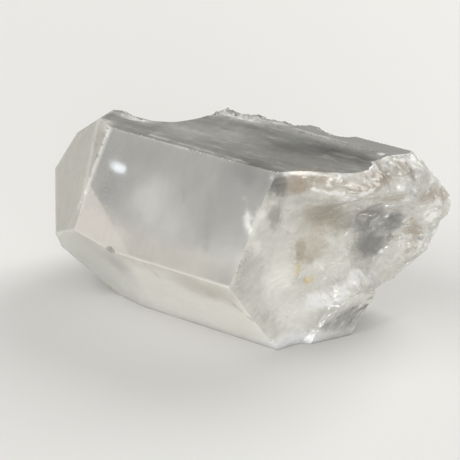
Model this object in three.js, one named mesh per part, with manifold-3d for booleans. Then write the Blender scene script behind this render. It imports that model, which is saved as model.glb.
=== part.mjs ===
// A quartz point: one six-sided crystal lying on a prism face. It has a blunt tip of unequal faces
// at one end and, where it broke from its base, a rough hollow at the other.
// Millimetres, +Z up. The long axis runs along X with the tip towards -X, the front is -Y, and the
// origin is under the middle of the crystal, on the surface that it lies on.
import * as THREE from 'three';
import { mergeVertices } from 'three/addons/utils/BufferGeometryUtils.js';
import Module from 'manifold-3d';

const wasm = await Module();
wasm.setup();

const { degToRad, lerp, smoothstep } = THREE.MathUtils;

// Driving dimensions. Stations along X are measured from a point on the long axis, 20 from the tip.
const axisHeight = 8.6;
const barLength = 60;
const barWidth = 40;
const sideLean = 90;
const tipLean = 51.8;
const taperLean = 80.7;
const bevelLean = 64;
const bluntLean = 32.7;

// Each crystal face is a plane: turn is its direction around the long axis, in degrees from the
// front upwards, lean the angle between its normal and the axis, and distance how far out it sits.
const crystalFaces = [
  { turn: -90, lean: sideLean, distance: axisHeight },
  { turn: -30, lean: sideLean, distance: 9.2 },
  { turn: 30, lean: sideLean, distance: 8.5 },
  { turn: 90, lean: sideLean, distance: 8.55 },
  { turn: 100, lean: sideLean, distance: 9.0 },
  { turn: 150, lean: sideLean, distance: 9.2 },
  { turn: 210, lean: sideLean, distance: 9.0 },
  { turn: 30, lean: tipLean, distance: 14.15 },
  { turn: 150, lean: tipLean, distance: 11.4 },
  { turn: -90, lean: tipLean, distance: 13.4 },
  { turn: 90, lean: tipLean, distance: 14.9 },
  { turn: -30, lean: taperLean, distance: 10.3 },
  { turn: 33, lean: bevelLean, distance: 12.9 },
  { turn: -21, lean: bluntLean, distance: 17.7 },
];

// The break: a smooth slanting floor, and the lumps left standing on it. Its y and z, like the
// chips' below, are measured from the long axis.
const breakFloor = { station: 8.2, perY: 0.35, perZ: -0.07 };
const breakLumps = [
  { y: -1.1, z: 7.5, reachY: 2.3, reachZ: 2.6, rise: 5.0 },
  { y: 3.8, z: 6.5, reachY: 3.8, reachZ: 3.6, rise: 5.6 },
  { y: 8.9, z: 2.7, reachY: 4.0, reachZ: 4.2, rise: 5.0 },
  { y: 8.0, z: -2.8, reachY: 3.4, reachZ: 2.8, rise: 2.2 },
  { y: 1.2, z: -6.2, reachY: 3.4, reachZ: 2.8, rise: 1.9 },
  { y: -2.2, z: -7.6, reachY: 2.2, reachZ: 2.4, rise: 0.6 },
  { y: 1.2, z: -0.4, reachY: 3.6, reachZ: 3.3, rise: 1.1 },
];
const breakCell = 0.5;

// The flat wedge at the foot of the break: how far along X it reaches, the slanting edge across
// which it falls away, the curved line above which it slopes down, and where the fall fades out.
const wedgeFace = { station: 11.1, perY: 0.7, perZ: -0.13, foot: -8.6 };
const wedgeEdge = { y: 0.1, perZ: 0.667, fall: 1.3 };
const wedgeTop = { z: -5.25, perY: 0.5, bend: -0.17, fall: 0.85 };
const fallFades = { from: -6.2, to: -5.2 };

// Roughness of the break: coarse and fine grain on the lumps, and a faint wave on the floor.
const coarseGrain = { depth: 0.32, size: 1.9 };
const fineGrain = { depth: 0.16, size: 0.85 };
const floorWave = { depth: 0.06, size: 1.9 };
const grainStarts = 0.2;
const grainFull = 1.6;

// Shell-shaped chips along the edges, each with its centre, half-sizes and tilt about X.
const chips = [
  { at: [-10.0, 3.7, 9.2], half: [5.2, 6.1, 3.3], tilt: -8 },
  { at: [-13.4, 0.7, 9.2], half: [2.4, 3.0, 1.6], tilt: -14 },
  { at: [-4.3, 5.7, 9.0], half: [2.5, 2.5, 1.3], tilt: -20 },
  { at: [-0.9, 5.6, 8.6], half: [1.8, 1.6, 0.8], tilt: -20 },
  { at: [1.6, 5.8, 8.3], half: [1.3, 1.1, 0.6], tilt: -20 },
  { at: [6.0, 5.8, 8.2], half: [1.5, 1.0, 0.5], tilt: -20 },
  { at: [-7.9, -10.4, -0.7], half: [0.5, 0.5, 0.35], tilt: 30 },
];

const chipDetail = 7;

const weldTolerance = 1e-5;

function toSolid(geometry) {
  geometry.deleteAttribute('normal');
  geometry.deleteAttribute('uv');
  const welded = mergeVertices(geometry, weldTolerance);
  return new wasm.Manifold(new wasm.Mesh({
    numProp: 3,
    vertProperties: new Float32Array(welded.attributes.position.array),
    triVerts: new Uint32Array(welded.index.array),
  }));
}

// Everything beyond one crystal face, as a block whose near side lies on the face.
function beyondFace({ turn, lean, distance }) {
  const around = degToRad(turn);
  const away = degToRad(lean);
  const normal = new THREE.Vector3(
    -Math.cos(away),
    -Math.sin(away) * Math.cos(around),
    Math.sin(away) * Math.sin(around),
  );
  const side = barLength * 2;
  const block = new THREE.BoxGeometry(side, side, side);
  block.translate(side / 2 + distance, 0, 0);
  const alongX = new THREE.Vector3(1, 0, 0);
  block.applyQuaternion(new THREE.Quaternion().setFromUnitVectors(alongX, normal));
  return toSolid(block);
}

// A repeatable number between -1 and 1 for one point of a square lattice.
const rowStride = 127.1;
const columnStride = 311.7;
const scatter = 43758.5;

function latticeValue(row, column) {
  const mixed = Math.sin(row * rowStride + column * columnStride) * scatter;
  return (mixed - Math.floor(mixed)) * 2 - 1;
}

// The lattice values, blended smoothly in between and scaled to the grain's depth.
function grainHeight(y, z, { depth, size }) {
  const row = Math.floor(y / size);
  const column = Math.floor(z / size);
  const rowShare = smoothstep(y / size - row, 0, 1);
  const columnShare = smoothstep(z / size - column, 0, 1);
  const low = lerp(latticeValue(row, column), latticeValue(row + 1, column), rowShare);
  const high = lerp(latticeValue(row, column + 1), latticeValue(row + 1, column + 1), rowShare);
  return depth * lerp(low, high, columnShare);
}

// The break's station once the wedge at its foot is added.
function withWedge(station, y, z) {
  const aboveFoot = z - wedgeFace.foot;
  const pastEdge = Math.max(y - wedgeEdge.y - wedgeEdge.perZ * aboveFoot, 0);
  const aboveTop = Math.max(z - wedgeTop.z - wedgeTop.perY * y - wedgeTop.bend * y * y, 0);
  const face = wedgeFace.station + wedgeFace.perY * y + wedgeFace.perZ * aboveFoot;
  const front = face - wedgeEdge.fall * pastEdge;
  const fades = smoothstep(z, fallFades.from, fallFades.to);
  const limited = pastEdge > 0 ? lerp(Math.min(station, front), station, fades) : station;
  return Math.max(limited, front - wedgeTop.fall * aboveTop);
}

// How far along X the broken end reaches at a place across the axis.
function breakStation(y, z) {
  let lumps = 0;
  for (const lump of breakLumps) {
    const across = (y - lump.y) / lump.reachY;
    const up = (z - lump.z) / lump.reachZ;
    lumps += lump.rise * Math.exp(-across * across - up * up);
  }
  const floor = breakFloor.station + breakFloor.perY * y + breakFloor.perZ * z;
  const grain = grainHeight(y, z, coarseGrain) + grainHeight(z, y, fineGrain);
  const wave = grainHeight(y, z, floorWave);
  const relief = lerp(wave, grain, smoothstep(lumps, grainStarts, grainFull));
  return withWedge(floor + lumps + relief, y, z);
}

// Everything beyond the broken end: a block whose near side is shaped as the break.
function beyondBreak() {
  const cells = Math.round(barWidth / breakCell);
  const block = new THREE.BoxGeometry(barLength, barWidth, barWidth, 1, cells, cells);
  const position = block.attributes.position;
  for (let i = 0; i < position.count; i += 1) {
    const near = position.getX(i) < 0;
    position.setX(i, near ? breakStation(position.getY(i), position.getZ(i)) : barLength);
  }
  return toSolid(block);
}

function chipSolid({ at, half, tilt }) {
  const shell = new THREE.IcosahedronGeometry(1, chipDetail);
  shell.scale(...half);
  shell.rotateX(degToRad(tilt));
  shell.translate(...at);
  return toSolid(shell);
}

function crystalGeometry() {
  let crystal = toSolid(new THREE.BoxGeometry(barLength, barWidth, barWidth));
  for (const face of crystalFaces) {
    crystal = crystal.subtract(beyondFace(face));
  }
  crystal = crystal.subtract(beyondBreak());
  for (const chip of chips) {
    crystal = crystal.subtract(chipSolid(chip));
  }
  const mesh = crystal.getMesh();
  const geometry = new THREE.BufferGeometry();
  geometry.setAttribute('position', new THREE.BufferAttribute(new Float32Array(mesh.vertProperties), 3));
  geometry.setIndex(new THREE.BufferAttribute(new Uint32Array(mesh.triVerts), 1));
  geometry.computeBoundingBox();
  const { min, max } = geometry.boundingBox;
  geometry.translate(-(min.x + max.x) / 2, -(min.y + max.y) / 2, -min.z);
  geometry.computeVertexNormals();
  return geometry;
}

const milkyQuartz = new THREE.MeshStandardMaterial({ color: 0xd3d1c8, roughness: 0.15, metalness: 0 });

const quartzPoint = new THREE.Mesh(crystalGeometry(), milkyQuartz);
quartzPoint.name = 'quartz_point';

const model = new THREE.Group();
model.add(quartzPoint);

export default model;
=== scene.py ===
import math

import bmesh
import bpy
from mathutils import Color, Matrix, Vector


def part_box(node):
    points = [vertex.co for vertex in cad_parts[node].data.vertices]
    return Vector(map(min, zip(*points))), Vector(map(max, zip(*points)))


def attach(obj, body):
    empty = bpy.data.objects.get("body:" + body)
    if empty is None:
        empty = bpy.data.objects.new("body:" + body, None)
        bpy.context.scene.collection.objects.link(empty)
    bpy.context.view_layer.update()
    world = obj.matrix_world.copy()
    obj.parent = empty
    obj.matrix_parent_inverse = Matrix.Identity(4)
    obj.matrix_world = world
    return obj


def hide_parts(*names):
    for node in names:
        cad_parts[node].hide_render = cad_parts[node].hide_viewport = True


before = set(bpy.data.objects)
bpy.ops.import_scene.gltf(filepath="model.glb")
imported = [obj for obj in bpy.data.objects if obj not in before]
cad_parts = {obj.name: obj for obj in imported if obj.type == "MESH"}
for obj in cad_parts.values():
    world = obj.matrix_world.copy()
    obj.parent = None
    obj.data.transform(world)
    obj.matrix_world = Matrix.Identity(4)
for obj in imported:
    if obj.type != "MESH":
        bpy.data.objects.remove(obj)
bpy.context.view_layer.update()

# A quartz point: one milky, six-sided crystal lying on a prism face. The tip is towards -X and the
# break, where it came off its base, towards +X. Shapes are worked out in millimetres.
millimetre = 0.001
pieceName = "quartz_point"
lowCorner, highCorner = [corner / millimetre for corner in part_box(pieceName)]
middle = (lowCorner + highCorner) / 2
axisFromCorner = Vector((20.2, 10.22, 8.6))
axisPoint = lowCorner + axisFromCorner  # on the long axis, 20 from the tip

view = {
    "turn": 32,  # degrees round from the front
    "height": 28,  # degrees above the horizon
    "distance": 162,
    "aim": (0, -2.6, 0.24),  # from the axis point
    "lens": 140.9,
    "sensor": 36,
    "nearest": 10,  # nothing closer than this is drawn
}


def outward(turn, height):
    across = math.cos(math.radians(height))
    return Vector((
        math.sin(math.radians(turn)) * across,
        -math.cos(math.radians(turn)) * across,
        math.sin(math.radians(height)),
    ))


def makeCamera():
    lens = bpy.data.cameras.new("camera")
    lens.lens = view["lens"]
    lens.sensor_width = view["sensor"]
    lens.clip_start = view["nearest"] * millimetre
    camera = bpy.data.objects.new("camera", lens)
    back = outward(view["turn"], view["height"])
    camera.location = (axisPoint + Vector(view["aim"]) + back * view["distance"]) * millimetre
    camera.rotation_euler = back.to_track_quat("Z", "Y").to_euler()
    bpy.context.scene.collection.objects.link(camera)
    bpy.context.scene.camera = camera


makeCamera()
print("camera: placed")


# One output of a node. A sum written with these adds its Math nodes to the tree.
class Wire:
    def __init__(self, graph, socket):
        self.graph = graph
        self.socket = socket

    def maths(self, operation, *others):
        return self.graph.node("ShaderNodeMath", {"operation": operation}, [self, *others])

    def __add__(self, other):
        return self.maths("ADD", other)

    def __radd__(self, other):
        return self.maths("ADD", other)

    def __sub__(self, other):
        return self.maths("SUBTRACT", other)

    def __rsub__(self, other):
        return self.graph.node("ShaderNodeMath", {"operation": "SUBTRACT"}, [other, self])

    def __mul__(self, other):
        return self.maths("MULTIPLY", other)

    def __rmul__(self, other):
        return self.maths("MULTIPLY", other)

    def __truediv__(self, other):
        return self.maths("DIVIDE", other)

    def __neg__(self):
        return self.maths("MULTIPLY", -1)

    def __abs__(self):
        return self.maths("ABSOLUTE")


# A node tree, shader or geometry, with the one method that adds a node to it.
class Graph:
    def __init__(self, tree):
        self.tree = tree
        self.dials = {}
        tree.nodes.clear()

    def node(self, kind, settings=None, inputs=(), out=0):
        made = self.tree.nodes.new(kind)
        for name, value in (settings or {}).items():
            setattr(made, name, value)
        pairs = inputs.items() if isinstance(inputs, dict) else enumerate(inputs)
        for key, value in pairs:
            for part in value if isinstance(value, list) else [value]:
                if isinstance(part, Wire):
                    self.tree.links.new(part.socket, made.inputs[key])
                else:
                    made.inputs[key].default_value = part
        if isinstance(out, tuple):
            return [Wire(self, made.outputs[each]) for each in out]
        return Wire(self, made.outputs[out]) if made.outputs else None

    def vector(self, operation, *inputs, out="Vector"):
        return self.node("ShaderNodeVectorMath", {"operation": operation}, inputs, out)

    def split(self, vector):
        return self.node("ShaderNodeSeparateXYZ", None, [vector], (0, 1, 2))

    def combine(self, x, y, z):
        return self.node("ShaderNodeCombineXYZ", None, [x, y, z])

    def scaled(self, vector, amount):
        return self.node("ShaderNodeVectorMath", {"operation": "SCALE"}, {0: vector, "Scale": amount})

    # 1 where a squared distance is 0, falling away smoothly as it grows
    def bell(self, squared):
        return (-squared).maths("EXPONENT")

    # 0 at low and 1 at high, with a smooth rise between; low may be the larger of the two
    def smooth(self, value, low, high):
        inputs = {"Value": value, "From Min": low, "From Max": high}
        return self.node("ShaderNodeMapRange", {"interpolation_type": "SMOOTHSTEP"}, inputs, "Result")

    # noise that averages 0, with blotches about size across; shift picks another pattern
    def noise(self, place, size, detail=2.0, roughness=0.5, shift=0.0):
        inputs = {"Vector": place, "W": shift, "Scale": 1 / size, "Detail": detail, "Roughness": roughness}
        return self.node("ShaderNodeTexNoise", {"noise_dimensions": "4D"}, inputs) - 0.5

    def cells(self, place, size, out):
        return self.node("ShaderNodeTexVoronoi", None, {"Vector": place, "Scale": 1 / size}, out)

    # an attribute stored on the mesh, read by a material or a geometry tree
    def stored(self, name):
        if self.tree.type == "SHADER":
            return self.node("ShaderNodeAttribute", {"attribute_name": name}, (), "Fac")
        return self.node("GeometryNodeInputNamedAttribute", {"data_type": "FLOAT"}, {"Name": name})

    # a named input of a geometry tree, and the value that the modifier is given for it
    def dial(self, name, value):
        kinds = {float: "NodeSocketFloat", int: "NodeSocketInt", bpy.types.Object: "NodeSocketObject"}
        kind = next(kinds[known] for known in kinds if isinstance(value, known))
        socket = self.tree.interface.new_socket(name, in_out="INPUT", socket_type=kind)
        self.dials[socket.identifier] = value
        return self.node("NodeGroupInput", None, (), name)


def geometryGraph(name):
    graph = Graph(bpy.data.node_groups.new(name, "GeometryNodeTree"))
    graph.tree.interface.new_socket("Geometry", in_out="INPUT", socket_type="NodeSocketGeometry")
    graph.tree.interface.new_socket("Geometry", in_out="OUTPUT", socket_type="NodeSocketGeometry")
    return graph, graph.node("NodeGroupInput", None, (), "Geometry")


def growMesh(graph, piece):
    modifier = piece.modifiers.new(graph.tree.name, "NODES")
    modifier.node_group = graph.tree
    for identifier, value in graph.dials.items():
        modifier[identifier] = value
    evaluated = piece.evaluated_get(bpy.context.evaluated_depsgraph_get())
    grown = bpy.data.meshes.new_from_object(evaluated)
    piece.modifiers.remove(modifier)
    piece.data = grown


# The crystal's faces: turn round the long axis from the front upwards, and lean from the axis.
crystal = {
    "faces": {
        "rest": (-90, 90),
        "belly": (-30, 90),
        "flank": (30, 90),
        "crown": (90, 90),
        "crownEdge": (100, 90),
        "backUpper": (150, 90),
        "backLower": (210, 90),
        "tipFront": (30, 51.8),
        "tipBack": (150, 51.8),
        "tipUnder": (-90, 51.8),
        "tipTop": (90, 51.8),
        "taper": (-30, 80.7),
        "tipBevel": (33, 64),
        "blunt": (-21, 32.7),
    },
    "wornEdge": 0.045,
    "bandLeast": 0.12,
    "bandMost": 0.6,
    "bandDepth": 0.022,
    "bandSize": 0.9,
    "bandNoise": (4.0, 0.65, 3.0),  # detail, roughness and which pattern
    "tipStation": -9.5,
    "bandFade": 4,  # how far past the tip the growth lines reach their full depth
    "footFade": (0.2, 1.5),
    "blank": 60,
    "sharpAngle": 0.6,  # radians
}

# How worn each ridge is: all of them a little, and these more.
plainWear = 0.16
ridgeWear = {
    ("flank", "crown"): 0.45,
    ("flank", "tipBevel"): 0.5,
    ("crown", "crownEdge"): 0.8,
    ("crownEdge", "backUpper"): 0.8,
}


def faceNormal(name):
    turn, lean = [math.radians(angle) for angle in crystal["faces"][name]]
    return Vector((
        -math.cos(lean),
        -math.sin(lean) * math.cos(turn),
        math.sin(lean) * math.sin(turn),
    ))


# Each face lies as far out as the CAD crystal reaches in its direction.
def facePlanes():
    corners = [vertex.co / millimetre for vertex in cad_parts[pieceName].data.vertices]
    planes = {}
    for name in crystal["faces"]:
        normal = faceNormal(name)
        planes[name] = (normal, max(normal.dot(corner) for corner in corners))
    return planes


planes = facePlanes()


def linked(name, mesh):
    made = bpy.data.objects.new(name, mesh)
    bpy.context.scene.collection.objects.link(made)
    return made


def meshFrom(body, name):
    mesh = bpy.data.meshes.new(name)
    body.to_mesh(mesh)
    body.free()
    return mesh


def cutCrystal():
    body = bmesh.new()
    bmesh.ops.create_cube(body, size=crystal["blank"])
    bmesh.ops.translate(body, verts=body.verts, vec=axisPoint)
    for normal, distance in planes.values():
        parts = body.verts[:] + body.edges[:] + body.faces[:]
        cut = bmesh.ops.bisect_plane(
            body, geom=parts, plane_co=normal * distance, plane_no=normal, clear_outer=True
        )
        rim = [part for part in cut["geom_cut"] if isinstance(part, bmesh.types.BMEdge)]
        bmesh.ops.edgenet_fill(body, edges=rim)
    bmesh.ops.recalc_face_normals(body, faces=body.faces)
    return body


def sidesAt(place):
    nearEnough = 0.01
    return {
        name for name, (normal, distance) in planes.items()
        if abs(normal.dot(place) - distance) < nearEnough
    }


# The ridges as loose edges, each with how worn it is, for the chips to follow.
def ridgeLines(body):
    lines = bmesh.new()
    wear = lines.verts.layers.float.new("wear")
    for edge in body.edges:
        ends = [corner.co.copy() for corner in edge.verts]
        touching = sidesAt(ends[0]) & sidesAt(ends[1])
        if "rest" in touching or len(touching) < 2:
            continue
        amount = plainWear
        for pair, known in ridgeWear.items():
            if touching.issuperset(pair):
                amount = known
        corners = [lines.verts.new(end) for end in ends]
        for corner in corners:
            corner[wear] = amount
        lines.edges.new(corners)
    return linked("ridges", meshFrom(lines, "ridges"))


# Where the mesh is divided for the growth lines. The uneven spacing comes from a plain sine hash.
hashStride = 12.9898
hashScale = 43758.5453


def bandStations():
    station = lowCorner.x
    stations = []
    count = 0
    while station < highCorner.x:
        share = math.sin(count * hashStride) * hashScale % 1
        station += crystal["bandLeast"] + (crystal["bandMost"] - crystal["bandLeast"]) * share
        if station > axisPoint.x + crystal["tipStation"]:
            stations.append(station)
        count += 1
    return stations


def wearAndBand(body):
    bmesh.ops.bevel(
        body, geom=body.edges[:], offset=crystal["wornEdge"], segments=2, profile=0.5, affect="EDGES"
    )
    for station in bandStations():
        parts = body.verts[:] + body.edges[:] + body.faces[:]
        bmesh.ops.bisect_plane(body, geom=parts, plane_co=(station, 0, 0), plane_no=(1, 0, 0))
    return linked("crystal", meshFrom(body, "crystal"))


broken = {
    "floor": {"station": 8.2, "perY": 0.35, "perZ": -0.07},
    "lumps": [  # y, z from the long axis, reach across and up, and rise
        (-1.1, 7.5, 2.3, 2.6, 5.0),
        (3.8, 6.5, 3.8, 3.6, 5.6),
        (8.9, 2.7, 4.0, 4.2, 4.7),
        (8.0, -2.8, 3.4, 2.8, 2.0),
        (1.2, -6.2, 3.4, 2.8, 1.9),
        (-2.2, -7.6, 2.2, 2.4, 0.6),
        (1.2, -0.4, 3.6, 3.3, 1.1),
    ],
    # the clear, flat wedge at the foot of the break, with its sharp edge and the slope above it;
    # lift is how far the fall past that edge is moved away where it doesn't hold
    "wedge": {
        "station": 11.1, "perY": 0.7, "perZ": -0.13, "foot": -8.6,
        "edgeY": 0.1, "edgePerZ": 0.667, "fall": 1.3,
        "top": -5.25, "topPerY": 0.5, "topBend": -0.17, "slope": 0.85,
        "edgeWobble": 0.5, "clearance": 0.1, "lift": 12,
        "fallFades": (-6.2, -5.2), "fallStarts": (0.05, 0.0),
        "blend": (-0.05, 0.1), "smoothTop": (0.3, 0.0),
        "streakDepth": 0.14, "streakSlant": 0.8, "streakStretch": (1.0, 3.4, 0.35),
        "streakNoise": (1.0, 3.0, 0.6, 15.0), "streaksFade": (0.4, -0.2),
    },
    "crumbs": [  # y, z, reach and strength of the rougher places
        (-2.9, 0.3, 1.1, 0.3),
        (-2.4, -2.4, 1.0, 0.45),
        (-3.3, 3.6, 1.2, 0.25),
        (3.6, -4.4, 1.1, 0.6),
        (0.4, -3.0, 0.9, 0.5),
    ],
    "grainStarts": 0.9,
    "grainFull": 3.4,
    "scatterStarts": 0.4,
    "scatterFull": 1.4,
    # each layer of noise: size, detail, roughness, which pattern, and height
    "layers": {
        "coarse": (1.7, 1.5, 0.5, 0.0, 0.65),
        "fine": (0.42, 3.0, 0.6, 4.0, 0.2),
        "wave": (3.2, 2.0, 0.4, 7.0, 0.3),
        "wobble": (1.0, 2.0, 0.5, 2.0, 1.0),
        "ringDrift": (3.0, 2.0, 0.5, 9.0, 2.0),
        "scattered": (2.6, 2.0, 0.5, 12.0, 1.0),
    },
    "warp": (0.0, 0.6, -0.5),
    "scatteredFrom": -0.06,
    "scatteredTo": 0.14,
    "scatteredShare": 0.35,
    "gritSize": 0.4,
    "gritHeight": 0.16,
    "facetSize": 0.85,
    "facetHeight": 0.34,
    "facetTilt": 1.6,
    "facetStep": 0.5,
    "rippleSize": 0.62,
    "rippleHeight": 0.008,
    "rippleFrom": (0, -3.0, -13.0),
    "block": (60.0, 24.0, 20.0),
    "cell": 0.11,
}


def layer(graph, place, name):
    size, detail, roughness, pattern, height = broken["layers"][name]
    return graph.noise(place, size, detail, roughness, pattern) * height


# The lumps left standing on the floor of the break.
def lumpHeight(graph, across, up):
    lumps = 0
    for y, z, reachY, reachZ, rise in broken["lumps"]:
        acrossShare = (across - y) / reachY
        upShare = (up - z) / reachZ
        lumps = graph.bell(acrossShare * acrossShare + upShare * upShare) * rise + lumps
    return lumps


# How rough the break is, from 0 to 1: rough on the lumps, at the crumbs and in scattered spots.
def roughShare(graph, flat, warped, lumps):
    rough = graph.smooth(lumps, broken["grainStarts"], broken["grainFull"])
    scattered = graph.smooth(
        layer(graph, flat, "scattered"), broken["scatteredFrom"], broken["scatteredTo"]
    )
    scattered = scattered * broken["scatteredShare"]
    nearLumps = graph.smooth(lumps, broken["scatterStarts"], broken["scatterFull"])
    rough = rough.maths("MAXIMUM", scattered * nearLumps)
    for y, z, reach, strength in broken["crumbs"]:
        off = graph.vector("DISTANCE", warped, (0.0, y, z), out="Value") / reach
        rough = rough.maths("MAXIMUM", graph.bell(off * off) * strength)
    return rough


# Small tilted facets with grit on them, each facet a step above or below its neighbours.
def facetsAndGrit(graph, warped):
    colour, centre = graph.cells(warped, broken["facetSize"], ("Color", "Position"))
    tilt = graph.vector("SUBTRACT", colour, (0.5, 0.5, 0.5))
    local = graph.vector("SUBTRACT", warped, centre)
    steepness = broken["facetHeight"] / broken["facetSize"] * broken["facetTilt"]
    facet = graph.vector("DOT_PRODUCT", tilt, local, out="Value") * steepness
    facet = facet + graph.split(tilt)[0] * broken["facetHeight"] * broken["facetStep"]
    return facet - graph.cells(warped, broken["gritSize"], "Distance") * broken["gritHeight"]


def ripples(graph, flat):
    ring = graph.vector("DISTANCE", flat, broken["rippleFrom"], out="Value")
    ring = ring + layer(graph, flat, "ringDrift")
    return (ring * (2 * math.pi / broken["rippleSize"])).maths("SINE") * broken["rippleHeight"]


# The break with the wedge at its foot, and how rough it still is there.
def withWedge(graph, station, rough, across, up, wobble):
    wedge = broken["wedge"]
    aboveFoot = up - wedge["foot"]
    front = across * wedge["perY"] + aboveFoot * wedge["perZ"] + wedge["station"]
    past = across - aboveFoot * wedge["edgePerZ"] - wedge["edgeY"] + wobble * wedge["edgeWobble"]
    past = past.maths("MAXIMUM", 0.0)
    above = up - across * wedge["topPerY"] - across * across * wedge["topBend"] - wedge["top"] + wobble
    slanting = graph.combine(0.0, across - up * wedge["streakSlant"], across + up)
    streaks = graph.noise(graph.vector("MULTIPLY", slanting, wedge["streakStretch"]), *wedge["streakNoise"])
    streaks = streaks * wedge["streakDepth"] * graph.smooth(above, *wedge["streaksFade"])
    front = front + streaks - past * wedge["fall"]
    lifted = graph.smooth(up, *wedge["fallFades"]) + graph.smooth(past, *wedge["fallStarts"])
    station = station.maths("MINIMUM", front + wedge["clearance"] + lifted * wedge["lift"])
    front = front - above.maths("MAXIMUM", 0.0) * wedge["slope"]
    onWedge = graph.smooth(front - station, *wedge["blend"])
    rough = rough * (1 - onWedge * graph.smooth(above, *wedge["smoothTop"]))
    return station.maths("MAXIMUM", front), rough


# How far along X the break reaches, as lumps left standing on a smooth slanting floor.
def breakStation(graph, place):
    _, across, up = graph.split(place)
    lumps = lumpHeight(graph, across, up)
    floor = across * broken["floor"]["perY"] + up * broken["floor"]["perZ"] + broken["floor"]["station"]
    flat = graph.combine(0.0, across, up)
    wobble = layer(graph, flat, "wobble")
    warped = graph.vector("ADD", flat, graph.scaled(broken["warp"], wobble))
    rough = roughShare(graph, flat, warped, lumps)
    crumbly = layer(graph, flat, "coarse") + layer(graph, flat, "fine") + facetsAndGrit(graph, warped)
    station = floor + lumps + crumbly * rough + layer(graph, flat, "wave")
    station = station + ripples(graph, flat) * (1 - rough)
    return withWedge(graph, station, rough, across, up, wobble)


kinds = {"face": 0.0, "break": 1.0, "shell": 2.0, "nibble": 3.0}


def marked(graph, geometry, kind):
    inputs = {"Geometry": geometry, "Name": "fracture", "Value": kinds[kind]}
    return graph.node("GeometryNodeStoreNamedAttribute", {"domain": "FACE"}, inputs)


# Everything past the broken end: a block whose near side is shaped as the break.
def breakCutter(graph):
    cell = graph.dial("Break cell", broken["cell"])
    depth, width, height = broken["block"]
    inputs = {
        "Size": broken["block"],
        "Vertices X": 2,
        "Vertices Y": cell.maths("POWER", -1) * width,
        "Vertices Z": cell.maths("POWER", -1) * height,
    }
    block = graph.node("GeometryNodeMeshCube", None, inputs)
    place = graph.node("GeometryNodeInputPosition")
    x, y, z = graph.split(place)
    near = x.maths("LESS_THAN", 0.0)
    station, rough = breakStation(graph, place)
    stored = {"Geometry": block, "Name": "crumble", "Value": rough}
    block = graph.node("GeometryNodeStoreNamedAttribute", None, stored)
    moved = graph.combine(station * near + depth * (1 - near), y, z)
    block = graph.node("GeometryNodeSetPosition", None, {"Geometry": block, "Position": moved})
    block = graph.node("GeometryNodeTransform", None, {"Geometry": block, "Translation": axisPoint})
    return marked(graph, block, "break")


shells = {
    "chips": [  # centre from the axis point, half sizes, tilt about X
        ((-10.0, 3.7, 9.2), (5.2, 6.1, 3.3), -8),
        ((-13.4, 0.7, 9.2), (2.4, 3.0, 1.6), -14),
        ((-4.3, 5.7, 9.0), (2.5, 2.5, 1.3), -20),
        ((-0.9, 5.6, 8.6), (1.8, 1.6, 0.8), -20),
        ((1.6, 5.8, 8.3), (1.3, 1.1, 0.6), -20),
        ((6.0, 5.8, 8.2), (1.5, 1.0, 0.5), -20),
        ((-7.9, -10.4, -0.7), (0.5, 0.5, 0.35), 30),
        ((-3.7, 3.7, 9.0), (1.5, 1.0, 0.75), -12),
        ((-1.8, 3.5, 8.95), (1.4, 0.8, 0.6), -14),
        ((-5.0, 2.5, 9.0), (1.0, 0.6, 0.55), -6),
        ((0.4, 3.8, 8.9), (1.0, 0.5, 0.5), -14),
        ((-10.7, -2.2, 8.95), (1.5, 0.5, 0.5), 0),
        ((-12.2, -3.4, 8.9), (0.7, 0.4, 0.4), 0),
    ],
    "detail": 5,
    "unevenness": 0.09,
    "jaggedBelow": 2.6,
    "jaggedness": 0.4,
    "jagSize": 1 / 4.2,
    "swellSize": 0.7,
    "swellDetail": 3.0,
    "swellRoughness": 0.5,
    "swellStride": 5.0,
    "rippleDepth": 0.006,
    "rippleSize": 0.13,
    "rippleFrom": (-1.0, 0.3, 0.6),
}


def shellCutters(graph):
    detail = graph.dial("Shell detail", shells["detail"])
    unevenness = graph.dial("Shell unevenness", shells["unevenness"])
    cutters = []
    for index, (centre, half, tilt) in enumerate(shells["chips"]):
        shell = graph.node("GeometryNodeMeshIcoSphere", None, {"Radius": 1.0, "Subdivisions": detail})
        place = graph.node("GeometryNodeInputPosition")
        pattern = index * shells["swellStride"]
        swell = graph.noise(
            place, shells["swellSize"], shells["swellDetail"], shells["swellRoughness"], pattern
        )
        swell = swell * unevenness
        arc = graph.vector("DISTANCE", place, shells["rippleFrom"], out="Value")
        swell = swell + (arc * (2 * math.pi / shells["rippleSize"])).maths("SINE") * shells["rippleDepth"]
        if max(half) < shells["jaggedBelow"]:
            swell = swell + graph.cells(place, shells["jagSize"], "Distance") * shells["jaggedness"]
        moved = graph.scaled(place, swell + 1)
        shell = graph.node("GeometryNodeSetPosition", None, {"Geometry": shell, "Position": moved})
        inputs = {
            "Geometry": shell,
            "Translation": axisPoint + Vector(centre),
            "Rotation": (math.radians(tilt), 0, 0),
            "Scale": half,
        }
        cutters.append(marked(graph, graph.node("GeometryNodeTransform", None, inputs), "shell"))
    return cutters


nibbles = {
    "spacing": 0.2,
    "least": 0.04,
    "most": 0.2,
    "seed": 7,
    "clusterSize": 2.2,
    "clusterShare": 2.2,
    "threshold": 0.12,
    "jitter": 0.1,
    "sizeAtNoWear": 0.3,
    "sizePerWear": 0.8,
    "ballDetail": 2,
}


def randomVector(graph, least, most, seed):
    inputs = {0: least, 1: most, "Seed": seed}
    return graph.node("FunctionNodeRandomValue", {"data_type": "FLOAT_VECTOR"}, inputs, 0)


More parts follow.
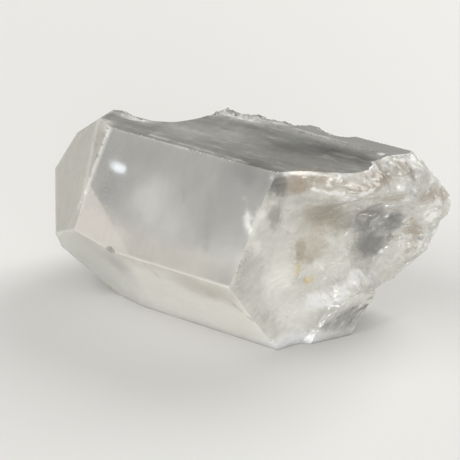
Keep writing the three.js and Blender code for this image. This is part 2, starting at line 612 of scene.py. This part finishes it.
# Small chips strung along the ridges, thickest where a ridge is most worn.
def nibbleCutters(graph, ridges):
    lines = graph.node(
        "GeometryNodeObjectInfo", {"transform_space": "ORIGINAL"}, {"Object": graph.dial("Ridges", ridges)},
        "Geometry",
    )
    spacing = graph.dial("Chip spacing", nibbles["spacing"])
    seed = graph.dial("Chip seed", nibbles["seed"])
    curve = graph.node("GeometryNodeMeshToCurve", None, {"Mesh": lines})
    points = graph.node("GeometryNodeCurveToPoints", {"mode": "LENGTH"}, {"Curve": curve, "Length": spacing})
    place = graph.node("GeometryNodeInputPosition")
    wear = graph.stored("wear")
    chance = graph.node("FunctionNodeRandomValue", {"data_type": "FLOAT"}, {"Seed": seed}, 1)
    cluster = graph.noise(place, nibbles["clusterSize"]) * nibbles["clusterShare"]
    chosen = chance.maths("LESS_THAN", wear + cluster - nibbles["threshold"])
    size = randomVector(graph, (nibbles["least"],) * 3, (nibbles["most"],) * 3, seed + 1)
    size = graph.scaled(size, wear * nibbles["sizePerWear"] + nibbles["sizeAtNoWear"])
    turn = randomVector(graph, (0, 0, 0), (2 * math.pi,) * 3, seed + 2)
    jitter = randomVector(graph, (-nibbles["jitter"],) * 3, (nibbles["jitter"],) * 3, seed + 3)
    points = graph.node("GeometryNodeSetPosition", None, {"Geometry": points, "Offset": jitter})
    ball = {"Radius": 1.0, "Subdivisions": nibbles["ballDetail"]}
    bit = marked(graph, graph.node("GeometryNodeMeshIcoSphere", None, ball), "nibble")
    return graph.node("GeometryNodeInstanceOnPoints", None, {
        "Points": points, "Selection": chosen, "Instance": bit, "Rotation": turn, "Scale": size,
    })


# Shallow growth lines across the prism faces, fading out at the tip and at the underside.
def growthRelief(graph, geometry):
    depth = graph.dial("Growth depth", crystal["bandDepth"])
    place = graph.node("GeometryNodeInputPosition")
    x, y, z = graph.split(place)
    lines = graph.noise(graph.combine(x, 0.0, 0.0), crystal["bandSize"], *crystal["bandNoise"])
    start = axisPoint.x + crystal["tipStation"]
    pastTip = graph.smooth(x, start, start + crystal["bandFade"])
    amount = lines * depth * pastTip * graph.smooth(z, *crystal["footFade"])
    away = graph.vector("SUBTRACT", graph.combine(0.0, y, z), (0.0, axisPoint.y, axisPoint.z))
    offset = graph.scaled(graph.vector("NORMALIZE", away), amount)
    return graph.node("GeometryNodeSetPosition", None, {"Geometry": geometry, "Offset": offset})


def makeCrystal(finish):
    body = cutCrystal()
    ridges = ridgeLines(body)
    piece = wearAndBand(body)
    graph, solid = geometryGraph("crystal")
    solid = marked(graph, growthRelief(graph, solid), "face")
    cutters = [breakCutter(graph), *shellCutters(graph), nibbleCutters(graph, ridges)]
    solid = graph.node(
        "GeometryNodeMeshBoolean", {"operation": "DIFFERENCE", "solver": "MANIFOLD"},
        {"Mesh 1": solid, "Mesh 2": cutters},
    )
    kind = graph.stored("fracture")
    sharp = graph.dial("Sharp edge", crystal["sharpAngle"])
    angle = graph.node("GeometryNodeInputMeshEdgeAngle")
    flat = {"Geometry": solid, "Selection": kind.maths("LESS_THAN", 0.5), "Shade Smooth": False}
    solid = graph.node("GeometryNodeSetShadeSmooth", {"domain": "FACE"}, flat)
    crisp = {"Geometry": solid, "Selection": angle.maths("GREATER_THAN", sharp), "Shade Smooth": False}
    solid = graph.node("GeometryNodeSetShadeSmooth", {"domain": "EDGE"}, crisp)
    solid = graph.node("GeometryNodeTransform", None, {"Geometry": solid, "Scale": (millimetre,) * 3})
    solid = graph.node("GeometryNodeRealizeInstances", None, {"Geometry": solid})
    solid = graph.node("GeometryNodeSetMaterial", None, {"Geometry": solid, "Material": finish})
    graph.node("NodeGroupOutput", None, [solid])
    growMesh(graph, piece)
    bpy.data.objects.remove(ridges)
    triangles = sum(len(face.vertices) - 2 for face in piece.data.polygons)
    print("crystal:", triangles, "triangles")
    return piece


# A screen colour, 0 to 255, as the linear colour that a socket takes.
def tint(red, green, blue):
    color = Color((red / 255, green / 255, blue / 255)).from_srgb_to_scene_linear()
    return (*color, 1)


quartz = {
    # each face's colour: partly the stone's tone and partly painted light and shade, with the top face and
    # flank painted darker and the belly lighter, as light passing through the stone shows them
    "faces": {
        "flank": tint(134, 133, 126),
        "tipFront": tint(189, 186, 174),
        "tipBevel": tint(212, 209, 202),
        "belly": tint(238, 236, 228),
        "taper": tint(216, 215, 208),
        "blunt": tint(216, 215, 208),
        "crown": tint(138, 138, 131),
        "crownEdge": tint(150, 150, 145),
        "backUpper": tint(166, 166, 160),
        "backLower": tint(186, 185, 178),
        "tipBack": tint(172, 172, 164),
        "tipUnder": tint(200, 199, 191),
        "tipTop": tint(176, 176, 169),
        "rest": tint(200, 198, 190),
    },
    "break": tint(212, 210, 203),
    "shell": tint(162, 161, 155),
    "nibble": tint(176, 175, 168),
    # soft patches: colour, centre from the axis point, reach along each axis, strength
    "clouds": [
        ("rose", (-10.4, -9.2, 0.9), (2.3, 2.0, 2.4), 0.95),
        ("rose", (-7.4, -9.5, 0.5), (1.8, 1.2, 1.4), 0.85),
        ("slate", (-9.7, -7.5, 4.0), (1.3, 2.0, 2.2), 0.7),
        ("umber", (-7.2, -5.6, 7.2), (2.6, 1.4, 1.3), 0.7),
        ("milk", (-5.4, -7.3, 3.6), (1.9, 2.0, 2.8), 0.65),
        ("milk", (-2.6, -8.2, 2.2), (2.2, 1.6, 2.2), 0.5),
        # painted shade: the flank darker towards its upper right
        ("slate", (-1.3, -6.0, 6.7), (1.3, 1.5, 1.8), 0.6),
        ("slate", (0.9, -7.6, 4.0), (1.0, 2.0, 2.6), 0.6),
        ("ash", (3.4, -5.2, 8.0), (2.6, 1.3, 1.9), 0.95),
        ("slate", (2.4, -6.4, 5.4), (1.7, 1.4, 2.0), 0.6),
        # painted light: the flank lighter towards its lower edge and the belly bright, as glow from light
        # passing through the stone
        ("milk", (4.8, -8.4, 0.8), (3.0, 1.8, 2.2), 0.85),
        ("warmMilk", (-3.4, -9.8, 0.0), (4.4, 1.2, 1.6), 0.85),
        ("warmMilk", (0.9, -9.8, 0.3), (3.0, 1.2, 1.8), 0.8),
        ("pearl", (-4.7, -7.1, -6.6), (5.0, 3.0, 2.2), 0.8),
        ("pearl", (1.5, -6.0, -8.2), (8.0, 3.0, 1.6), 0.9),
        ("warmMilk", (2.0, -9.5, -2.2), (3.4, 1.2, 1.5), 0.8),
        ("slate", (-7.9, -9.0, -2.5), (1.6, 1.4, 1.3), 0.35),
        # the top face, with its grey and dark patches painted shade
        ("pearl", (-5.6, -2.0, 8.6), (2.6, 1.4, 1.0), 0.35),
        ("milk", (-1.6, -0.6, 8.6), (2.6, 1.2, 1.0), 0.55),
        ("slate", (-8.4, -2.6, 8.4), (1.9, 1.3, 1.4), 0.6),
        ("ash", (4.4, -0.1, 8.6), (2.4, 1.2, 1.0), 0.85),
        ("soot", (8.0, 1.2, 8.6), (3.0, 1.3, 1.0), 0.95),
        ("soot", (11.0, 1.3, 8.6), (1.2, 0.9, 1.0), 0.75),
        ("slate", (8.6, -2.9, 8.6), (2.8, 0.6, 0.8), 0.6),
        ("milk", (6.2, 3.2, 8.6), (4.0, 0.6, 0.8), 0.6),
        ("ash", (0.0, 2.2, 8.6), (2.4, 0.6, 0.8), 0.45),
        ("snow", (-3.5, 3.6, 8.4), (1.4, 0.9, 0.9), 1.0),
        ("snow", (-1.6, 3.4, 8.4), (1.5, 0.6, 0.9), 0.95),
        ("snow", (1.1, 4.2, 8.3), (0.9, 0.4, 0.6), 0.7),
        ("snow", (-10.4, -2.0, 8.4), (1.7, 0.5, 0.7), 1.0),
        ("pearl", (-12.3, -4.1, 8.5), (0.9, 0.5, 0.4), 0.8),
    ],
    # patches with firmer edges, in the break from the top down
    "patches": [
        ("sand", (9.0, -1.6, 3.6), (2.6, 3.0, 2.6), 0.95),
        ("sand", (8.2, -2.0, 0.4), (2.0, 2.2, 1.9), 0.8),
        ("sand", (9.6, -2.6, 7.6), (3.0, 2.0, 1.0), 0.6),
        ("tan", (8.8, -3.7, 8.2), (2.6, 1.3, 0.7), 0.6),
        # painted shade: a darker corner at the top of the break
        ("ash", (6.5, -4.9, 7.4), (1.2, 1.3, 1.3), 0.75),
        ("slate", (6.3, -5.2, 4.8), (0.9, 1.0, 1.9), 0.6),
        ("tan", (7.7, -3.9, 7.4), (1.3, 1.2, 1.2), 0.95),
        ("milk", (7.9, -3.6, 5.8), (1.0, 1.0, 0.5), 0.8),
        # painted glints: white spots along the ridge below the top face
        ("snow", (9.0, -3.1, 6.9), (0.5, 0.5, 0.3), 1.0),
        ("snow", (10.6, -2.3, 6.7), (2.0, 1.2, 0.3), 0.9),
        ("snow", (12.6, -1.1, 6.7), (0.5, 0.5, 0.4), 1.0),
        ("snow", (13.2, 0.4, 5.6), (0.9, 1.0, 0.35), 0.8),
        ("tan", (13.2, 0.2, 7.4), (2.2, 2.2, 1.0), 0.95),
        ("tan", (13.9, 2.6, 4.6), (1.2, 1.1, 1.0), 0.7),
        ("snow", (14.2, 2.8, 6.1), (0.5, 0.6, 0.5), 1.0),
        ("milk", (15.0, 4.6, 6.0), (1.8, 2.0, 1.8), 0.4),
        ("tan", (15.6, 6.2, 3.8), (1.3, 1.5, 1.3), 0.7),
        ("snow", (12.0, 3.1, 8.5), (0.4, 0.4, 0.4), 1.0),
        # painted shade: the hollow under the ridge darker
        ("olive", (9.1, -1.2, 3.7), (1.9, 1.9, 1.6), 0.75),
        ("olive", (9.8, 0.4, 2.2), (1.3, 1.5, 1.4), 0.7),
        ("milk", (7.2, -3.3, 3.9), (0.8, 0.9, 0.8), 0.5),
        ("stain", (7.5, -2.9, 0.5), (0.6, 0.6, 1.4), 0.75),
        ("stain", (8.3, -2.0, -0.2), (0.7, 0.8, 0.9), 0.5),
        ("pearl", (8.4, -1.4, -1.6), (0.9, 1.0, 0.7), 0.6),
        ("amber", (8.0, -2.3, -2.6), (0.8, 0.6, 0.45), 0.95),
        ("amber", (7.3, -3.3, -1.4), (0.4, 0.4, 0.9), 0.75),
        # painted shade: the clear window in the break painted dark with what shows through it
        ("smoke", (11.3, 2.6, 2.2), (2.0, 2.0, 2.0), 0.75),
        ("smoke", (11.2, 3.4, -0.8), (2.0, 2.3, 2.1), 0.8),
        ("smoke", (12.6, 5.0, 1.2), (1.5, 1.4, 1.4), 0.7),
        ("ash", (12.9, 1.6, 4.1), (0.9, 0.8, 0.45), 0.7),
        ("ash", (12.2, 5.2, -0.6), (0.4, 0.5, 0.5), 0.8),
        ("snow", (12.3, 4.2, 1.9), (0.4, 0.35, 0.25), 0.9),
        ("snow", (11.6, 4.7, -2.0), (0.35, 0.3, 0.3), 0.8),
        ("tan", (13.7, 6.6, -0.4), (0.9, 1.0, 1.3), 0.85),
        ("amber", (13.5, 6.0, 1.0), (0.4, 0.5, 0.4), 0.8),
        ("snow", (15.2, 7.3, 1.4), (0.9, 1.0, 0.9), 0.95),
        ("snow", (10.6, 3.2, -4.3), (1.3, 1.4, 0.9), 1.0),
        ("snow", (10.4, 1.8, -3.6), (1.2, 1.4, 0.8), 0.95),
        ("snow", (8.8, -1.5, -4.8), (2.1, 2.1, 0.95), 1.0),
        ("snow", (9.9, -0.1, -4.5), (1.3, 1.4, 0.9), 1.0),
        # painted light and shade at the foot of the break: paler downwards to a bright band along the bottom
        # edge, as glow, with the clear wedge painted greyer
        ("pearl", (6.6, -5.2, -2.4), (1.9, 2.0, 2.9), 0.95),
        ("pearl", (7.2, -4.0, -5.4), (2.2, 2.0, 2.0), 0.95),
        ("slate", (11.2, 0.6, -6.8), (2.4, 2.2, 1.3), 0.45),
        ("slate", (9.8, -1.4, -7.2), (1.4, 1.4, 0.7), 0.35),
        ("snow", (7.4, -4.4, -8.2), (4.2, 3.6, 1.2), 1.0),
    ],
    # thin healed cracks, worn lines, and painted streaks of light and shade: colour, both ends, width,
    # strength
    "veils": [
        ("pearl", (3.7, -6.5, 5.7), (5.2, -7.5, 3.9), 0.38, 0.75),
        ("pearl", (6.1, -5.4, 5.7), (5.2, -7.2, 4.4), 0.55, 0.9),
        ("pearl", (5.2, -7.5, 4.1), (5.7, -7.0, 1.6), 0.45, 0.75),
        ("pearl", (5.7, -7.0, 1.8), (6.4, -5.8, 1.0), 0.3, 0.5),
        ("pearl", (5.8, -5.1, 8.2), (6.0, -5.2, 6.6), 0.22, 0.6),
        ("slate", (0.3, -6.4, 6.4), (1.4, -8.8, 1.6), 0.35, 0.4),
        ("slate", (-3.0, -5.2, 8.0), (-1.9, -7.2, 4.6), 0.3, 0.35),
        ("umber", (-4.2, -10.0, -1.0), (-3.3, -9.2, -2.4), 0.16, 0.4),
        ("umber", (3.4, -9.2, -2.0), (5.6, -7.9, -4.8), 0.2, 0.45),
        # painted shade: dark streaks seen through the clear wedge
        ("soot", (9.4, -1.9, -7.2), (12.2, 2.4, -5.2), 0.13, 0.8),
        ("soot", (9.2, -1.9, -7.8), (12.0, 1.7, -6.0), 0.12, 0.8),
        ("soot", (10.0, -0.6, -7.8), (12.0, 1.2, -6.8), 0.1, 0.7),
        # painted highlight: a bright line along the wedge's sharp edge
        ("snow", (11.4, 0.3, -8.4), (13.0, 3.2, -4.3), 0.3, 1.0),
        ("snow", (7.0, -4.9, -7.2), (8.0, -2.6, -5.6), 0.14, 0.4),
        ("snow", (10.4, 1.6, -1.8), (9.4, -0.6, -3.2), 0.28, 0.6),
        # painted highlight: the streak running on from a glint below the top face
        ("snow", (12.3, -1.3, 6.6), (12.9, 0.6, 5.2), 0.3, 0.7),
        # light lines along the top face's edges: worn edges, partly painted highlights
        ("pearl", (3.0, 3.8, 8.5), (8.0, 3.5, 8.5), 0.25, 0.7),
        ("pearl", (-7.2, -4.3, 8.6), (3.0, -4.6, 8.6), 0.22, 0.5),
    ],
    # colours laid over the faces; the three darkest greys are painted shade only, and the paler ones and
    # slate serve both for the stone's tones and for painted light and shade
    "tints": {
        "rose": tint(204, 197, 188),
        "slate": tint(116, 115, 110),
        "umber": tint(128, 123, 112),
        "milk": tint(190, 189, 183),
        "warmMilk": tint(192, 187, 176),
        "pearl": tint(236, 234, 227),
        "snow": tint(250, 249, 245),
        "smoke": tint(98, 97, 95),
        "ash": tint(80, 79, 75),
        "soot": tint(58, 57, 54),
        "sand": tint(190, 184, 170),
        "tan": tint(170, 158, 142),
        "olive": tint(152, 147, 131),
        "stain": tint(164, 154, 134),
        "amber": tint(204, 186, 142),
    },
    # marks that follow noise: its size, detail, roughness and pattern, then each colour with the
    # levels it fades in between and its strength
    "marks": {
        "crushed": ((1.1, 4.0, 0.6, 71.0), [("snow", 0.02, 0.16, 0.7)]),
        "rusty": ((1.4, 3.0, 0.6, 76.0), [("tan", 0.02, 0.14, 0.6)]),
        "clear": ((1.2, 3.0, 0.6, 81.0), [("smoke", 0.06, 0.2, 0.5)]),
        "streaks": ((0.9, 4.0, 0.6, 91.0), [("pearl", 0.0, 0.25, 0.3), ("soot", -0.05, -0.25, 0.35)]),
        "threads": ((1.0, 4.0, 0.65, 99.0), [("soot", 0.0, 0.2, 0.75), ("snow", -0.02, -0.22, 0.7)]),
        "crusts": ((1.3, 4.0, 0.65, 103.0), [("snow", 0.02, 0.18, 0.6), ("tan", -0.04, -0.2, 0.5)]),
    },
    "streakStretch": (0.3, 1.6, 1.0),
    "wipeStretch": (1.8, 0.3, 0.3),
    "threadSlant": 0.8,
    "threadStretch": (2.6, 0.3),
    "wedgeSpot": ((11.2, 0.5, -6.7), (2.6, 2.3, 1.4)),
    "sandySpot": ((-9.9, -7.2, 4.6), (1.4, 2.2, 2.6)),
    "icySpot": ((-4.2, 1.8, 8.6), (3.0, 1.8, 1.5)),
    "wornTipShare": 0.35,
    # the paler corner of the flank: the slant of its edge, where that edge lies, how it fades and
    # its strength
    "corner": {"slant": 1.38, "offset": 6.5, "fade": (0.25, -0.25), "strength": 0.6},
    # plain noise: size, detail, roughness and pattern
    "noises": {
        "edging": (0.9, 4.0, 0.65, 36.0),
        "breaks": (1.2, 2.0, 0.5, 20.0),
        "wipes": (1.0, 4.0, 0.6, 96.0),
        "mottle": (0.22, 3.0, 0.6, 31.0),
        "flecks": (0.7, 4.0, 0.65, 36.0),
        "cast": (1.9, 3.0, 0.55, 41.0),
        "sheen": (2.4, 3.0, 0.6, 51.0),
        "pits": (0.09, 2.0, 0.6, 61.0),
    },
    "edgingShare": 0.7,
    "patchEdge": (0.18, 0.85),
    "veilBreaks": (-0.2, 0.1),
    # how far colours wander from their places: scale and distance
    "drift": (0.5, 1.8),
    "wisp": (1.6, 0.9),
    "wavyShare": 0.4,
    "broadReach": 1.4,  # a cloud whose middle reach is past this drifts, others only turn wispy
    "nibbleShare": 0.7,
    # how strongly each noise lightens and darkens, and where
    "mottleShares": {"everywhere": 0.1, "crumble": 0.25, "sandy": 0.9},
    "castShare": 0.2,
    "wipeShare": 0.14,
    "fleckShares": {"everywhere": 0.1, "crown": 0.4, "break": 0.45, "shell": 0.9},
    "roughness": 0.14,
    "roughnessShares": {"sheen": 0.12, "break": 0.12, "crumble": 0.16, "nibble": 0.2},
    "pitShares": {"everywhere": 0.25, "crumble": 2.0, "nibble": 1.5, "sheen": 0.4},
    "pitStrength": 0.35,
    "pitDepth": 0.05,
    "faceDepth": (0.03, 0.28),  # a face's colour, with its painted light and shade, fades out over these depths below it
    "transmission": 0.4,
    "refraction": 1.544,
    "milkiness": 0.75,
    "glowReach": 2.2,
    "glowColour": (1.0, 0.97, 0.9),
    "gloss": 0.5,
    "glossRoughness": 0.03,
}


def over(graph, under, colour, mask):
    return graph.node("ShaderNodeMix", {"data_type": "RGBA"}, {0: mask, 6: under, 7: colour}, 2)


def tinted(graph, under, shade, mask):
    return over(graph, under, quartz["tints"][shade], mask)


def noiseOf(graph, place, name):
    return graph.noise(place, *quartz["noises"][name])


def addMarks(graph, colour, name, place, where):
    pattern, shades = quartz["marks"][name]
    level = graph.noise(place, *pattern)
    for shade, low, high, strength in shades:
        colour = tinted(graph, colour, shade, graph.smooth(level, low, high) * where * strength)
    return colour


# The place moved about by coloured noise.
def wander(graph, place, name):
    scale, distance = quartz[name]
    inputs = {"Vector": place, "Scale": scale, "Detail": 3.0}
    offset = graph.node("ShaderNodeTexNoise", None, inputs, "Color")
    offset = graph.vector("SUBTRACT", offset, (0.5, 0.5, 0.5))
    return graph.vector("ADD", place, graph.scaled(offset, distance))


# 1 at the centre of a patch, fading out past its reach
def cloudMask(graph, place, centre, reach):
    local = graph.vector("DIVIDE", graph.vector("SUBTRACT", place, centre), reach)
    return graph.bell(graph.vector("DOT_PRODUCT", local, local, out="Value"))


# 1 along a line between two points, fading out past its width
def veilMask(graph, place, start, end, width):
    along = Vector(end) - Vector(start)
    local = graph.vector("SUBTRACT", place, start)
    share = graph.vector("DOT_PRODUCT", local, along / along.length_squared, out="Value")
    share = share.maths("MAXIMUM", 0.0).maths("MINIMUM", 1.0)
    off = graph.vector("DISTANCE", local, graph.scaled(along, share), out="Value") / width
    return graph.bell(off * off)


# 1 on one flat face, and 0 off it
def onFace(graph, place, name):
    normal, distance = planes[name]
    off = graph.vector("DOT_PRODUCT", place, normal, out="Value") - (distance - normal.dot(axisPoint))
    return 1 - graph.smooth(abs(off), *quartz["faceDepth"])


# The stone's colour and painted light and shade: each face, chip and break, then patches, veils and nibbles
# over them. The faces' tones and many patches and veils are painted light, shade and glints.
def layColours(graph, place, wispy, wavy, isBreak, isShell, isNibble):
    colour = quartz["faces"]["flank"]
    for name in planes:
        if name != "flank":
            colour = over(graph, colour, quartz["faces"][name], onFace(graph, place, name))
    colour = over(graph, colour, quartz["shell"], isShell)
    colour = over(graph, colour, quartz["break"], isBreak)
    drifting = wander(graph, place, "drift")
    for shade, centre, reach, strength in quartz["clouds"]:
        around = drifting if sorted(reach)[1] > quartz["broadReach"] else wispy
        colour = tinted(graph, colour, shade, cloudMask(graph, around, centre, reach) * strength)
    edging = noiseOf(graph, wispy, "edging") * quartz["edgingShare"]
    for shade, centre, reach, strength in quartz["patches"]:
        ragged = cloudMask(graph, wispy, centre, reach) + edging
        mask = graph.smooth(ragged, *quartz["patchEdge"]) * strength
        colour = tinted(graph, colour, shade, mask)
    breaks = graph.smooth(noiseOf(graph, place, "breaks"), *quartz["veilBreaks"])
    for shade, start, end, width, strength in quartz["veils"]:
        mask = veilMask(graph, wavy, start, end, width) * breaks * strength
        colour = tinted(graph, colour, shade, mask)
    return over(graph, colour, quartz["nibble"], isNibble * quartz["nibbleShare"])


def quartzFinish():
    finish = bpy.data.materials.new("milky quartz")
    finish.use_nodes = True
    graph = Graph(finish.node_tree)
    place = graph.scaled(graph.node("ShaderNodeTexCoord", None, (), "Object"), 1 / millimetre)
    place = graph.vector("SUBTRACT", place, axisPoint)
    wispy = wander(graph, place, "wisp")
    wavy = graph.node(
        "ShaderNodeMix", {"data_type": "VECTOR"}, {0: quartz["wavyShare"], 4: place, 5: wispy}, 1
    )
    kind = graph.stored("fracture")
    pastFace, pastBreak, pastShell = [graph.smooth(kind, step - 0.1, step + 0.1) for step in (0.5, 1.5, 2.5)]
    isBreak = pastFace * (1 - pastBreak)
    isShell = pastBreak * (1 - pastShell)
    isNibble = pastShell
    colour = layColours(graph, place, wispy, wavy, isBreak, isShell, isNibble)

    # crushed, rusty and clear grains on the rough parts of the break, the clear grains painted dark as shade
    # seen through them
    crumble = graph.stored("crumble") * isBreak
    for name in ("crushed", "rusty", "clear"):
        colour = addMarks(graph, colour, name, wispy, crumble)

    # long faint streaks in the top face, their dark parts painted shade, and fine upright ones in the flank
    onCrown = onFace(graph, place, "crown")
    onFlank = onFace(graph, place, "flank")
    lengthwise = graph.vector("MULTIPLY", wavy, quartz["streakStretch"])
    colour = addMarks(graph, colour, "streaks", lengthwise, onCrown)
    upright = graph.vector("MULTIPLY", wavy, quartz["wipeStretch"])
    wipes = noiseOf(graph, upright, "wipes") * onFlank

    # the paler corner of the flank next to the tip ends at a slanting veil
    corner = quartz["corner"]
    along, across, up = graph.split(wavy)
    inCorner = graph.smooth(along + up * corner["slant"] + corner["offset"], *corner["fade"])
    colour = tinted(graph, colour, "rose", inCorner * onFlank * corner["strength"])

    # dark and light streaks through the clear wedge at the foot of the break, the dark ones painted shade of
    # what shows through it
    fine, long = quartz["threadStretch"]
    slanting = graph.combine(0.0, (across - up * quartz["threadSlant"]) * fine, (across + up) * long)
    inWedge = cloudMask(graph, place, *quartz["wedgeSpot"]) * isBreak
    colour = addMarks(graph, colour, "threads", slanting, inWedge)

    # crumbly patches on the narrow bevel and the tip face beside it
    worn = onFace(graph, place, "tipBevel") + onFace(graph, place, "tipFront") * quartz["wornTipShare"]
    colour = addMarks(graph, colour, "crusts", wispy, worn)

    # lighter and darker all over, most where the flank is finely pitted and on chips
    mottled = quartz["mottleShares"]
    flecked = quartz["fleckShares"]
    sandy = cloudMask(graph, wispy, *quartz["sandySpot"]) * onFlank
    icy = cloudMask(graph, place, *quartz["icySpot"])
    mottling = mottled["everywhere"] + crumble * mottled["crumble"] + sandy * mottled["sandy"]
    flecking = onCrown * (icy + flecked["crown"]) + isBreak * flecked["break"] + isShell * flecked["shell"]
    shade = 1 + noiseOf(graph, place, "mottle") * mottling
    shade = shade + noiseOf(graph, place, "cast") * quartz["castShare"] + wipes * quartz["wipeShare"]
    shade = shade + noiseOf(graph, wispy, "flecks") * (flecking + flecked["everywhere"])
    colour = graph.scaled(colour, shade)

    sheen = noiseOf(graph, place, "sheen")
    dull = quartz["roughnessShares"]
    roughness = quartz["roughness"] + sheen * dull["sheen"] + isBreak * dull["break"]
    roughness = roughness + crumble * dull["crumble"] + isNibble * dull["nibble"]
    pitted = quartz["pitShares"]
    pitting = pitted["everywhere"] + crumble * pitted["crumble"] + isNibble * pitted["nibble"]
    bump = graph.node("ShaderNodeBump", None, {
        "Height": noiseOf(graph, place, "pits") * pitting + sheen * pitted["sheen"],
        "Strength": quartz["pitStrength"],
        "Distance": quartz["pitDepth"] * millimetre,
    })

    surface = graph.node("ShaderNodeBsdfPrincipled", None, {
        "Base Color": colour,
        "Roughness": roughness,
        "Normal": bump,
        "IOR": quartz["refraction"],
        "Transmission Weight": quartz["transmission"],
        "Subsurface Weight": quartz["milkiness"],
        "Subsurface Radius": quartz["glowColour"],
        "Subsurface Scale": quartz["glowReach"] * millimetre,
        "Coat Weight": quartz["gloss"],
        "Coat Roughness": quartz["glossRoughness"],
    })
    graph.node("ShaderNodeOutputMaterial", None, {"Surface": surface})
    print("material: milky quartz")
    return finish


studio = {
    "floor": tint(214, 213, 210),
    "floorRoughness": 0.9,
    "floorSize": 4000,
    "sky": (0.77, 0.765, 0.75, 1),
    "skyStrength": 0.6,
    "lamps": {  # turn, height, distance, width, length, power
        "key": (-46, 42, 420, 320, 320, 0.9),
        "front": (44, 6, 480, 440, 110, 1.95),
        "back": (168, 38, 460, 300, 300, 1.5),
    },
    # a small lamp placed so that the face mirrors it to the camera at this spot
    "glint": {
        "face": "flank",
        "spot": (-9.35, -6.55, 5.75),
        "distance": 400,
        "width": 4.4,
        "length": 2.4,
        "power": 0.0011,
        "colour": (0.86, 0.92, 1.0),
    },
}


def softLamp(name, place, toward, width, length, power, colour=(1, 1, 1)):
    lamp = bpy.data.lights.new(name, "AREA")
    lamp.shape = "RECTANGLE"
    lamp.size = width * millimetre
    lamp.size_y = length * millimetre
    lamp.energy = power
    lamp.color = colour
    made = bpy.data.objects.new(name, lamp)
    made.location = place * millimetre
    made.rotation_euler = (place - toward).to_track_quat("Z", "Y").to_euler()
    bpy.context.scene.collection.objects.link(made)


def makeLights():
    sky = bpy.data.worlds.new("soft grey room")
    sky.use_nodes = True
    background = sky.node_tree.nodes["Background"]
    background.inputs["Color"].default_value = studio["sky"]
    background.inputs["Strength"].default_value = studio["skyStrength"]
    bpy.context.scene.world = sky
    for name, (turn, height, distance, width, length, power) in studio["lamps"].items():
        softLamp(name, middle + outward(turn, height) * distance, middle, width, length, power)
    glint = studio["glint"]
    spot = axisPoint + Vector(glint["spot"])
    eye = bpy.context.scene.camera.location / millimetre
    toEye = (eye - spot).normalized()
    normal = faceNormal(glint["face"])
    mirrored = 2 * normal.dot(toEye) * normal - toEye
    softLamp(
        "glint", spot + mirrored * glint["distance"], spot,
        glint["width"], glint["length"], glint["power"], glint["colour"],
    )


def makeFloor():
    half = studio["floorSize"] / 2 * millimetre
    corners = ((-half, -half), (half, -half), (half, half), (-half, half))
    body = bmesh.new()
    body.faces.new([body.verts.new((x, y, 0)) for x, y in corners])
    floor = linked("floor", meshFrom(body, "floor"))
    paint = bpy.data.materials.new("pale floor")
    paint.use_nodes = True
    surface = paint.node_tree.nodes["Principled BSDF"]
    surface.inputs["Base Color"].default_value = studio["floor"]
    surface.inputs["Roughness"].default_value = studio["floorRoughness"]
    floor.data.materials.append(paint)
    return floor


crystalPiece = makeCrystal(quartzFinish())
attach(crystalPiece, "root")
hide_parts(pieceName)
makeLights()
makeFloor()
bpy.context.scene.view_settings.view_transform = "Standard"
print("studio: lit")
